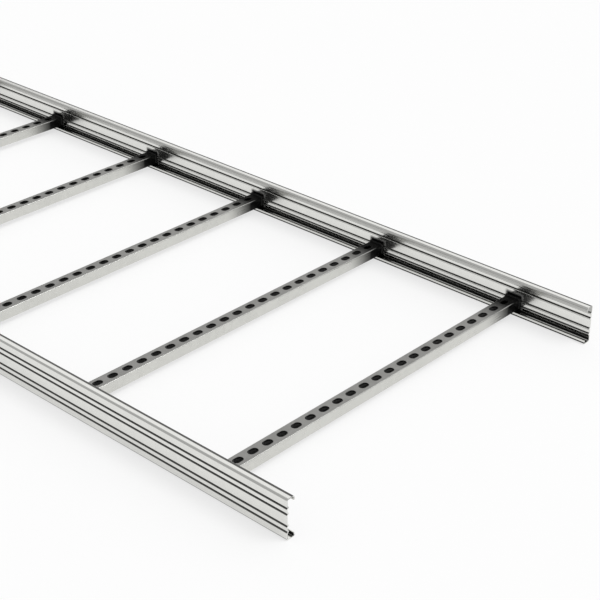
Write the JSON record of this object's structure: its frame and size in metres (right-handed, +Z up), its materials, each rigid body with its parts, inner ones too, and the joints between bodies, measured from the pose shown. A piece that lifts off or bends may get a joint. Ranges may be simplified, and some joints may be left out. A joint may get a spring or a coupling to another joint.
{
  "type": "cable ladder section",
  "caption": "Straight section of steel cable ladder: two low channel side rails with pressed grooves, joined by slotted channel rungs, that carries cables along walls and ceilings.",
  "frame": {"origin": "centre of the ladder's underside, on the plane of the side rails' lower flanges", "axes": "+X runs along the side rails, +Y across the ladder to the left-hand rail, +Z up, so cables lie on the rungs from above"},
  "size_m": [3, 0.6, 0.056],
  "materials": {
    "side_rail": "satin",
    "rung": "satin"
  },
  "bodies": {
    "root": {"side_rail_right": "side_rail", "side_rail_left": "side_rail", "rung_01": "rung", "rung_02": "rung", "rung_03": "rung", "rung_04": "rung", "rung_05": "rung", "rung_06": "rung", "rung_07": "rung", "rung_08": "rung", "rung_09": "rung", "rung_10": "rung", "rung_11": "rung", "rung_12": "rung"}
  },
  "joints": []
}
